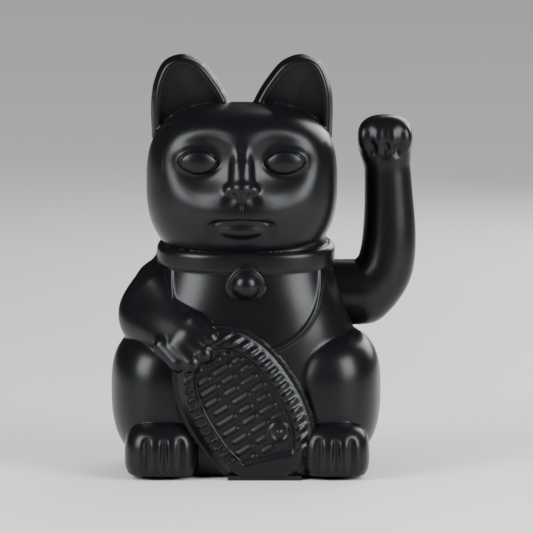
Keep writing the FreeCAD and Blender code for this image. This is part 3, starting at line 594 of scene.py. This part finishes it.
def beckoning_arm(p):
    """The arm with four soft toes, and the hollows below and between them."""
    p = p.astype(np.float32)
    d = arm_form(p)
    near_paw = p[:, 2] > 106
    q = p[near_paw]
    e = d[near_paw]
    front = paw_middle[1] - paw_front
    rounding = 0.035
    for offset in (-7.0, -2.4, 2.4, 7.0):
        y = front + 2.0 + rounding * offset * offset
        toe = ellipsoid(q, (paw_middle[0] + offset, y, 119.4), (2.6, 2.8, 4.6))
        e = joined(e, toe, 2.0)
    for offset in (-4.7, 0.0, 4.7):
        x = paw_middle[0] + offset
        y = front - 0.3 + rounding * offset * offset
        pit = ellipsoid(q, (x, y, 115.6), (1.4, 1.2, 2.4))
        e = carved(e, pit, 2.4)
    d[near_paw] = e
    return d


def arm_hollow(p):
    return arm_form(p.astype(np.float32)) + arm_wall


# ---------------------------------------------------------------- from field to mesh
def field_on_grid(field, low, high, step, block=4):
    """The field's values on a grid: exact in the blocks near the surface, rough elsewhere."""
    low = np.array(low, float)
    blocks = np.ceil((np.array(high) - low) / (step * block)).astype(int)
    centres = np.stack(np.meshgrid(*[np.arange(n) for n in blocks], indexing="ij"), -1).reshape(-1, 3)
    rough = field(low + (centres * block + (block - 1) / 2) * step).reshape(blocks)
    near = np.abs(rough) < step * block * 1.25  # a block's half diagonal, with room to spare
    values = rough.astype(np.float32)
    for axis in range(3):
        values = np.repeat(values, block, axis=axis)
        near = np.repeat(near, block, axis=axis)
    places = np.argwhere(near)
    exact = np.empty(len(places), np.float32)
    batch = 1000000
    for i in range(0, len(places), batch):
        exact[i : i + batch] = field(low + places[i : i + batch] * step)
    values[near] = exact
    return values, low


def untangled(values):
    """Fills grid squares of which only two opposite corners are inside, where sheets would touch."""
    squares = []
    for first in range(3):
        for second in range(first + 1, 3):
            corners = []
            for i, j in ((0, 0), (1, 1), (1, 0), (0, 1)):
                cut = [slice(None)] * 3
                cut[first] = slice(i, values.shape[first] - 1 + i)
                cut[second] = slice(j, values.shape[second] - 1 + j)
                corners.append(tuple(cut))
            squares.append(corners)
    rounds = 12
    for _ in range(rounds):
        inside = values < 0
        fill = np.zeros_like(inside)
        for corners in squares:
            a, b, c, d = (inside[cut] for cut in corners)
            tangled = (a == b) & (c == d) & (a != c)
            for cut in corners:
                fill[cut] |= tangled
        fill &= ~inside
        if not fill.any():
            break
        values[fill] = -0.01  # just inside
    return values


def surface_net(values, low, step):
    """One vertex in each cell that the surface crosses, and one quad round each crossed edge."""
    inside = values < 0
    cells = np.zeros(tuple(n - 1 for n in values.shape), np.uint8)
    corners = [(i, j, k) for i in (0, 1) for j in (0, 1) for k in (0, 1)]

    def corner(grid, c):
        return grid[tuple(slice(o, o + n - 1) for o, n in zip(c, grid.shape))]

    for c in corners:
        cells += corner(inside, c)
    active = (cells > 0) & (cells < 8)
    places = np.argwhere(active)
    index = np.full(active.shape, -1, np.int32)
    index[active] = np.arange(len(places))
    at = {c: corner(values, c)[active] for c in corners}
    total = np.zeros((len(places), 3))
    count = np.zeros(len(places))
    for c in corners:
        for axis in range(3):
            if c[axis]:
                continue
            other = tuple(1 if i == axis else c[i] for i in range(3))
            a, b = at[c], at[other]
            crossed = (a < 0) != (b < 0)
            t = np.where(crossed, a / np.where(crossed, a - b, 1.0), 0.0)
            point = np.tile(np.array(c, float), (len(places), 1))
            point[:, axis] += t
            total += point * crossed[:, None]
            count += crossed
    vertices = low + (places + total / count[:, None]) * step
    quads = []
    for axis in range(3):
        a, b = (axis + 1) % 3, (axis + 2) % 3
        first = np.take(inside, range(0, inside.shape[axis] - 1), axis=axis)
        second = np.take(inside, range(1, inside.shape[axis]), axis=axis)
        crossing = np.argwhere(first != second)
        ok = (crossing[:, a] > 0) & (crossing[:, b] > 0)
        ok &= (crossing[:, a] < active.shape[a]) & (crossing[:, b] < active.shape[b])
        crossing = crossing[ok]
        ring = []
        for da, db in ((1, 1), (0, 1), (0, 0), (1, 0)):
            cell = crossing.copy()
            cell[:, a] -= da
            cell[:, b] -= db
            ring.append(index[tuple(cell.T)])
        ring = np.stack(ring, 1)
        outward = inside[tuple(crossing.T)]
        quads.append(np.where(outward[:, None], ring, ring[:, ::-1]))
    return vertices, np.vstack(quads)


def gradient(field, points):
    stride = 0.04
    here = field(points)
    slopes = []
    for axis in range(3):
        moved = points.copy()
        moved[:, axis] += stride
        slopes.append(field(moved) - here)
    return here, np.stack(slopes, 1) / stride


def settled(field, vertices, step):
    """Moves the vertices onto the surface itself."""
    for _ in range(2):
        here, slope = gradient(field, vertices)
        move = (here / np.maximum((slope**2).sum(1), 0.2))[:, None] * slope
        size = np.linalg.norm(move, axis=1, keepdims=True)
        vertices = vertices - move * np.minimum(1.0, 0.6 * step / np.maximum(size, 1e-9))
    return vertices


def mesh_object(name, vertices, faces):
    """An object with the given vertices, in millimetres, and faces of one size."""
    mesh = bpy.data.meshes.new(name)
    corners = faces.shape[1]
    mesh.vertices.add(len(vertices))
    mesh.vertices.foreach_set("co", (vertices * MM).astype(np.float32).ravel())
    mesh.loops.add(faces.size)
    mesh.loops.foreach_set("vertex_index", faces.astype(np.int32).ravel())
    mesh.polygons.add(len(faces))
    mesh.polygons.foreach_set("loop_start", np.arange(0, faces.size, corners, dtype=np.int32))
    mesh.update(calc_edges=True)
    mesh.validate()
    piece = bpy.data.objects.new(name, mesh)
    bpy.context.scene.collection.objects.link(piece)
    return piece


def sculpted(field, low, high, step):
    """The vertices and quads of a field's surface inside a box."""
    values, corner = field_on_grid(field, low, high, step)
    vertices, quads = surface_net(untangled(values), corner, step)
    return settled(field, vertices, step), quads


def apply_modifiers(piece):
    depsgraph = bpy.context.evaluated_depsgraph_get()
    mesh = bpy.data.meshes.new_from_object(piece.evaluated_get(depsgraph))
    piece.modifiers.clear()
    old = piece.data
    piece.data = mesh
    bpy.data.meshes.remove(old)


def thinned(piece, triangles):
    now = sum(len(p.vertices) - 2 for p in piece.data.polygons)
    if now > triangles:
        modifier = piece.modifiers.new("thin", "DECIMATE")
        modifier.ratio = triangles / now
        apply_modifiers(piece)
    return piece


def hollowed(name, outside, inside):
    """A closed outer surface and the turned inner surface of its wall, as one mesh."""
    outer = np.empty(len(outside.data.vertices) * 3, np.float32)
    outside.data.vertices.foreach_get("co", outer)
    outer = outer.reshape(-1, 3) / MM
    outside.data.calc_loop_triangles()
    skin = np.empty(len(outside.data.loop_triangles) * 3, np.int32)
    outside.data.loop_triangles.foreach_get("vertices", skin)
    inner, quads = inside
    turned = quads[:, ::-1] + len(outer)
    triangles = (skin.reshape(-1, 3), turned[:, (0, 1, 2)], turned[:, (0, 2, 3)])
    bpy.data.objects.remove(outside)
    return mesh_object(name, np.vstack((outer, inner)), np.vstack(triangles))


def prism(outline, z0, z1):
    """A closed upright prism, as a cutter."""
    n = len(outline)
    low = [(x, y, z0) for x, y in outline]
    high = [(x, y, z1) for x, y in outline]
    mesh = bpy.data.meshes.new("cutter")
    sides = [(i, (i + 1) % n, n + (i + 1) % n, n + i) for i in range(n)]
    faces = [tuple(range(n - 1, -1, -1)), tuple(range(n, 2 * n))] + sides
    mesh.from_pydata([Vector(v) * MM for v in low + high], [], faces)
    cutter = bpy.data.objects.new("cutter", mesh)
    bpy.context.scene.collection.objects.link(cutter)
    return cutter


def block(x0, x1, y0, y1, z0, z1):
    return prism(((x0, y0), (x1, y0), (x1, y1), (x0, y1)), z0, z1)


def rod_along_x(x0, x1, middle, radius):
    sides = 48
    turns = [2 * math.pi * i / sides for i in range(sides)]
    cutter = prism([(radius * math.cos(t), radius * math.sin(t)) for t in turns], x0, x1)
    for v in cutter.data.vertices:
        a, b, c = v.co
        v.co = (c, a + middle[1] * MM, b + middle[2] * MM)
    return cutter


def base_outline(inset):
    """The base's plan, inside the torso's lowest section by the inset."""
    count, power = 96, 2.6
    row = TORSO_ROWS[0]
    half = row[1] * torso_half - inset
    front = row[2] * torso_front - inset
    back = row[3] * torso_back - inset
    points = []
    for i in range(count):
        t = 2 * math.pi * i / count
        c, s = math.cos(t), math.sin(t)
        x = half * math.copysign(abs(c) ** (2 / power), c)
        y = (back - front) / 2 + (front + back) / 2 * math.copysign(abs(s) ** (2 / power), s)
        points.append((x, y))
    return points


def cut(piece, cutter, operation="DIFFERENCE"):
    modifier = piece.modifiers.new("cut", "BOOLEAN")
    modifier.operation = operation
    modifier.solver = "MANIFOLD"
    modifier.object = cutter
    apply_modifiers(piece)
    bpy.data.objects.remove(cutter)


def copy_of(piece, name):
    twin = piece.copy()
    twin.data = piece.data.copy()
    twin.name = name
    bpy.context.scene.collection.objects.link(twin)
    return twin


def shade(piece, material):
    sharp_angle = 38.0
    mesh = piece.data
    mesh.materials.clear()
    mesh.materials.append(material)
    mesh.polygons.foreach_set("use_smooth", np.ones(len(mesh.polygons), bool))
    mesh.set_sharp_from_angle(angle=math.radians(sharp_angle))


# ---------------------------------------------------------------- materials
def new_material(name):
    material = bpy.data.materials.new(name)
    material.use_nodes = True
    nodes = material.node_tree.nodes
    return material, nodes, material.node_tree.links, nodes["Principled BSDF"]


def noise(nodes, links, coordinates, scale, detail=3.0):
    node = nodes.new("ShaderNodeTexNoise")
    node.inputs["Scale"].default_value = scale
    node.inputs["Detail"].default_value = detail
    links.new(coordinates, node.inputs["Vector"])
    return node.outputs["Fac"]


def remap(nodes, links, value, low, high):
    node = nodes.new("ShaderNodeMapRange")
    node.inputs["To Min"].default_value = low
    node.inputs["To Max"].default_value = high
    links.new(value, node.inputs["Value"])
    return node.outputs["Result"]


def bumped(nodes, links, shader, value, depth):
    node = nodes.new("ShaderNodeBump")
    node.inputs["Distance"].default_value = depth
    node.inputs["Strength"].default_value = 1.0
    links.new(value, node.inputs["Height"])
    links.new(node.outputs["Normal"], shader.inputs["Normal"])


def tinted(nodes, links, shader, value, dark, light):
    node = nodes.new("ShaderNodeMix")
    node.data_type = "RGBA"
    node.inputs["A"].default_value = (*dark, 1)
    node.inputs["B"].default_value = (*light, 1)
    links.new(value, node.inputs["Factor"])
    links.new(node.outputs["Result"], shader.inputs["Base Color"])


def moulded_plastic(name, color, roughness, variation=0.25, gloss=0.5):
    """Plastic from a finely textured mould: a grain too small to see, and broader uneven gloss."""
    material, nodes, links, shader = new_material(name)
    shader.inputs["Specular IOR Level"].default_value = gloss
    place = nodes.new("ShaderNodeTexCoord").outputs["Object"]
    broad = noise(nodes, links, place, 55.0)
    fine = noise(nodes, links, place, 3200.0, 2.0)
    dark = [c * (1 - variation) for c in color]
    light = [min(1.0, c * (1 + variation)) for c in color]
    tinted(nodes, links, shader, broad, dark, light)
    links.new(remap(nodes, links, broad, roughness - 0.04, roughness + 0.04), shader.inputs["Roughness"])
    bumped(nodes, links, shader, fine, 0.000012)
    return material


def turned_metal(name, color, roughness, stretch=(1.0, 1.0, 1.0)):
    """Metal with fine tool marks, drawn out along the axes where stretch is small."""
    material, nodes, links, shader = new_material(name)
    shader.inputs["Metallic"].default_value = 1.0
    mapping = nodes.new("ShaderNodeMapping")
    mapping.inputs["Scale"].default_value = stretch
    links.new(nodes.new("ShaderNodeTexCoord").outputs["Object"], mapping.inputs["Vector"])
    place = mapping.outputs["Vector"]
    marks = noise(nodes, links, place, 900.0)
    tinted(nodes, links, shader, marks, [c * 0.82 for c in color], color)
    links.new(remap(nodes, links, marks, roughness - 0.07, roughness + 0.09), shader.inputs["Roughness"])
    bumped(nodes, links, shader, marks, 0.00001)
    return material


def wound_copper(name):
    """Fine enamelled wire wound round an upright axis."""
    material, nodes, links, shader = new_material(name)
    shader.inputs["Metallic"].default_value = 1.0
    place = nodes.new("ShaderNodeTexCoord").outputs["Object"]
    turns = nodes.new("ShaderNodeTexWave")
    turns.bands_direction = "Z"
    turns.inputs["Scale"].default_value = 900.0
    turns.inputs["Distortion"].default_value = 0.3
    links.new(place, turns.inputs["Vector"])
    tinted(nodes, links, shader, turns.outputs["Fac"], (0.25, 0.07, 0.03), (0.8, 0.33, 0.15))
    links.new(remap(nodes, links, turns.outputs["Fac"], 0.42, 0.28), shader.inputs["Roughness"])
    bumped(nodes, links, shader, turns.outputs["Fac"], 0.00008)
    return material


def board_laminate(name):
    """Solder mask over copper tracks."""
    material, nodes, links, shader = new_material(name)
    place = nodes.new("ShaderNodeTexCoord").outputs["Object"]
    tracks = nodes.new("ShaderNodeTexBrick")
    tracks.inputs["Scale"].default_value = 260.0
    tracks.inputs["Mortar Size"].default_value = 0.03
    links.new(place, tracks.inputs["Vector"])
    tinted(nodes, links, shader, tracks.outputs["Fac"], (0.012, 0.10, 0.035), (0.03, 0.2, 0.07))
    fine = noise(nodes, links, place, 1800.0)
    links.new(remap(nodes, links, fine, 0.3, 0.42), shader.inputs["Roughness"])
    bumped(nodes, links, shader, tracks.outputs["Fac"], 0.00003)
    return material


def sleeved_can(name, color, band_color, low, high):
    """A printed sleeve with one plain band of another colour, between two places along X."""
    material, nodes, links, shader = new_material(name)
    place = nodes.new("ShaderNodeTexCoord").outputs["Object"]
    split = nodes.new("ShaderNodeSeparateXYZ")
    links.new(place, split.inputs["Vector"])
    band = nodes.new("ShaderNodeMapRange")
    band.inputs["From Min"].default_value = low
    band.inputs["From Max"].default_value = high
    band.clamp = True
    links.new(split.outputs["X"], band.inputs["Value"])
    tinted(nodes, links, shader, band.outputs["Result"], color, band_color)
    shader.inputs["Metallic"].default_value = 0.55
    fine = noise(nodes, links, place, 700.0)
    links.new(remap(nodes, links, fine, 0.25, 0.36), shader.inputs["Roughness"])
    bumped(nodes, links, shader, fine, 0.00001)
    return material


def make_materials():
    return {
        "shell_plastic": moulded_plastic("shell_plastic", (0.0035, 0.0037, 0.0043), 0.31, gloss=0.22),
        "base_plastic": moulded_plastic("base_plastic", (0.006, 0.006, 0.0065), 0.5, gloss=0.25),
        "frame_plastic": moulded_plastic("frame_plastic", (0.66, 0.65, 0.6), 0.42, variation=0.06),
        "lever_plastic": moulded_plastic("lever_plastic", (0.42, 0.44, 0.46), 0.4, variation=0.06),
        "hub_plastic": moulded_plastic("hub_plastic", (0.02, 0.02, 0.021), 0.42),
        "switch_plastic": moulded_plastic("switch_plastic", (0.015, 0.015, 0.016), 0.35),
        "slider_plastic": moulded_plastic("slider_plastic", (0.7, 0.7, 0.66), 0.38, variation=0.05),
        "chip_plastic": moulded_plastic("chip_plastic", (0.012, 0.012, 0.013), 0.55),
        "bobbin_plastic": moulded_plastic("bobbin_plastic", (0.78, 0.74, 0.62), 0.4, variation=0.05),
        "lead_red": moulded_plastic("lead_red", (0.45, 0.012, 0.01), 0.34, variation=0.1),
        "lead_black": moulded_plastic("lead_black", (0.01, 0.01, 0.011), 0.34),
        "steel": turned_metal("steel", (0.56, 0.56, 0.57), 0.26, (0.05, 1.0, 1.0)),
        "contact_metal": turned_metal("contact_metal", (0.72, 0.7, 0.66), 0.22),
        "bush_brass": turned_metal("bush_brass", (0.78, 0.56, 0.24), 0.28, (0.05, 1.0, 1.0)),
        "winding_copper": wound_copper("winding_copper"),
        "board_laminate": board_laminate("board_laminate"),
        "capacitor_can": sleeved_can(
            "capacitor_can", (0.02, 0.03, 0.12), (0.4, 0.42, 0.45), 0.0199, 0.0201
        ),
        "magnet_plating": turned_metal("magnet_plating", (0.7, 0.7, 0.71), 0.14),
        "cell_sleeve": sleeved_can("cell_sleeve", (0.02, 0.02, 0.022), (0.5, 0.36, 0.14), 0.0095, 0.0097),
        "screw_steel": turned_metal("screw_steel", (0.5, 0.5, 0.52), 0.3, (1.0, 1.0, 0.1)),
    }


# ---------------------------------------------------------------- build the shells and the arm
def body_shells(material):
    vertices, quads = sculpted(figure, *figure_box, figure_step)
    outside = thinned(mesh_object("body", vertices, quads), figure_triangles)
    inside = sculpted(body_hollow, *cavity_box, cavity_step)
    whole = hollowed("shells", outside, inside)
    cut(whole, block(-reach, reach, -reach, reach, foot_lift, 200), "INTERSECT")
    cut(whole, prism(base_outline(plate_inset), -5, plate_recess_top))
    cut(whole, prism(base_outline(opening_inset), -5, opening_top))
    tongue_top = foot_lift + tongue_gap
    cut(whole, block(tongue_left, tongue_right, tongue_front, tongue_back, -5, tongue_top))
    cut(whole, rod_along_x(20, 50, pivot, axle_hole_radius))
    rear = copy_of(whole, "rear_shell_moulding")
    whole.name = "front_shell_moulding"
    cut(whole, block(-reach, reach, -reach, parting_y - seam_gap / 2, -10, 200), "INTERSECT")
    cut(rear, block(-reach, reach, parting_y + seam_gap / 2, reach, -10, 200), "INTERSECT")
    for piece, node in ((whole, "front_shell"), (rear, "rear_shell")):
        shade(piece, material)
        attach(piece, "body")
        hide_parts(node)


def arm_shells(material):
    vertices, quads = sculpted(beckoning_arm, *arm_box, arm_step)
    outside = thinned(mesh_object("arm", vertices, quads), arm_triangles)
    inside = sculpted(arm_hollow, *arm_box, arm_cavity_step)
    whole = hollowed("arm_shells", outside, inside)
    cut(whole, rod_along_x(20, 41, pivot, hub_hole_radius))
    rear = copy_of(whole, "arm_rear_moulding")
    whole.name = "arm_front_moulding"
    cut(whole, block(0, reach, -60, parting_y - seam_gap / 2, 0, 200), "INTERSECT")
    cut(rear, block(0, reach, parting_y + seam_gap / 2, 60, 0, 200), "INTERSECT")
    for piece, node in ((whole, "arm_front_half"), (rear, "arm_rear_half")):
        shade(piece, material)
        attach(piece, "beckoning_arm")
        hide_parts(node)


def dress_cad_nodes(materials):
    slots = {entry["node"]: entry["material_slot"] for entry in frame["record"]["subparts"]}
    for name, node in frame["nodes"].items():
        node.data.materials.clear()
        node.data.materials.append(materials[slots[name]])


# ---------------------------------------------------------------- floor, light and camera
def make_floor():
    material, nodes, links, shader = new_material("floor_paper")
    place = nodes.new("ShaderNodeTexCoord").outputs["Object"]
    broad = noise(nodes, links, place, 4.0)
    tinted(nodes, links, shader, broad, (0.60, 0.60, 0.595), (0.64, 0.64, 0.635))
    shader.inputs["Roughness"].default_value = 0.6
    half = 9.0
    mesh = bpy.data.meshes.new("floor")
    corners = ((-half, -half, 0), (half, -half, 0), (half, half, 0), (-half, half, 0))
    mesh.from_pydata(corners, [], [(0, 1, 2, 3)])
    mesh.materials.append(material)
    floor = bpy.data.objects.new("floor", mesh)
    bpy.context.scene.collection.objects.link(floor)


def soft_box(name, place, aim, width, height, power, color=(1, 1, 1)):
    lamp = bpy.data.lights.new(name, "AREA")
    lamp.shape = "RECTANGLE"
    lamp.size, lamp.size_y = width, height
    lamp.energy = power
    lamp.color = color
    holder = bpy.data.objects.new(name, lamp)
    holder.location = place
    holder.visible_camera = False
    holder.rotation_euler = (Vector(aim) - Vector(place)).to_track_quat("-Z", "Y").to_euler()
    bpy.context.scene.collection.objects.link(holder)
    return holder


def make_light():
    world = bpy.data.worlds.new("studio")
    world.use_nodes = True
    world.node_tree.nodes["Background"].inputs["Color"].default_value = (0.75, 0.78, 0.82, 1)
    world.node_tree.nodes["Background"].inputs["Strength"].default_value = 0.03
    bpy.context.scene.world = world
    middle = (0, 0, 0.075)
    soft_box("left_box", (-0.56, -0.40, 0.42), middle, 0.42, 0.52, 11.0, (0.94, 0.97, 1.0))
    soft_box("right_box", (0.58, -0.42, 0.40), middle, 0.42, 0.52, 11.5, (0.94, 0.97, 1.0))
    overhead = soft_box("overhead_box", (0.0, 1.3, 2.4), (0.0, 1.3, 0.0), 4.5, 4.0, 80.0)
    overhead.visible_glossy = False
    soft_box("back_box", (0.32, 0.62, 0.38), middle, 0.5, 0.5, 4.0)


def make_camera():
    camera = bpy.data.cameras.new("camera")
    holder = bpy.data.objects.new("camera", camera)
    bpy.context.scene.collection.objects.link(holder)
    elevation = math.radians(7.0)
    distance, field_width = 3.5, 0.1930
    target = Vector((0.0074, 0.0, 0.0727))
    holder.location = target + distance * Vector((0, -math.cos(elevation), math.sin(elevation)))
    look = (target - holder.location).to_track_quat("-Z", "Y")
    holder.rotation_euler = look.to_euler()
    camera.sensor_width = 36.0
    camera.lens = 36.0 * distance / field_width
    camera.clip_end = 20.0
    bpy.context.scene.camera = holder


materials = make_materials()
dress_cad_nodes(materials)
body_shells(materials["shell_plastic"])
arm_shells(materials["shell_plastic"])
make_floor()
make_light()
make_camera()
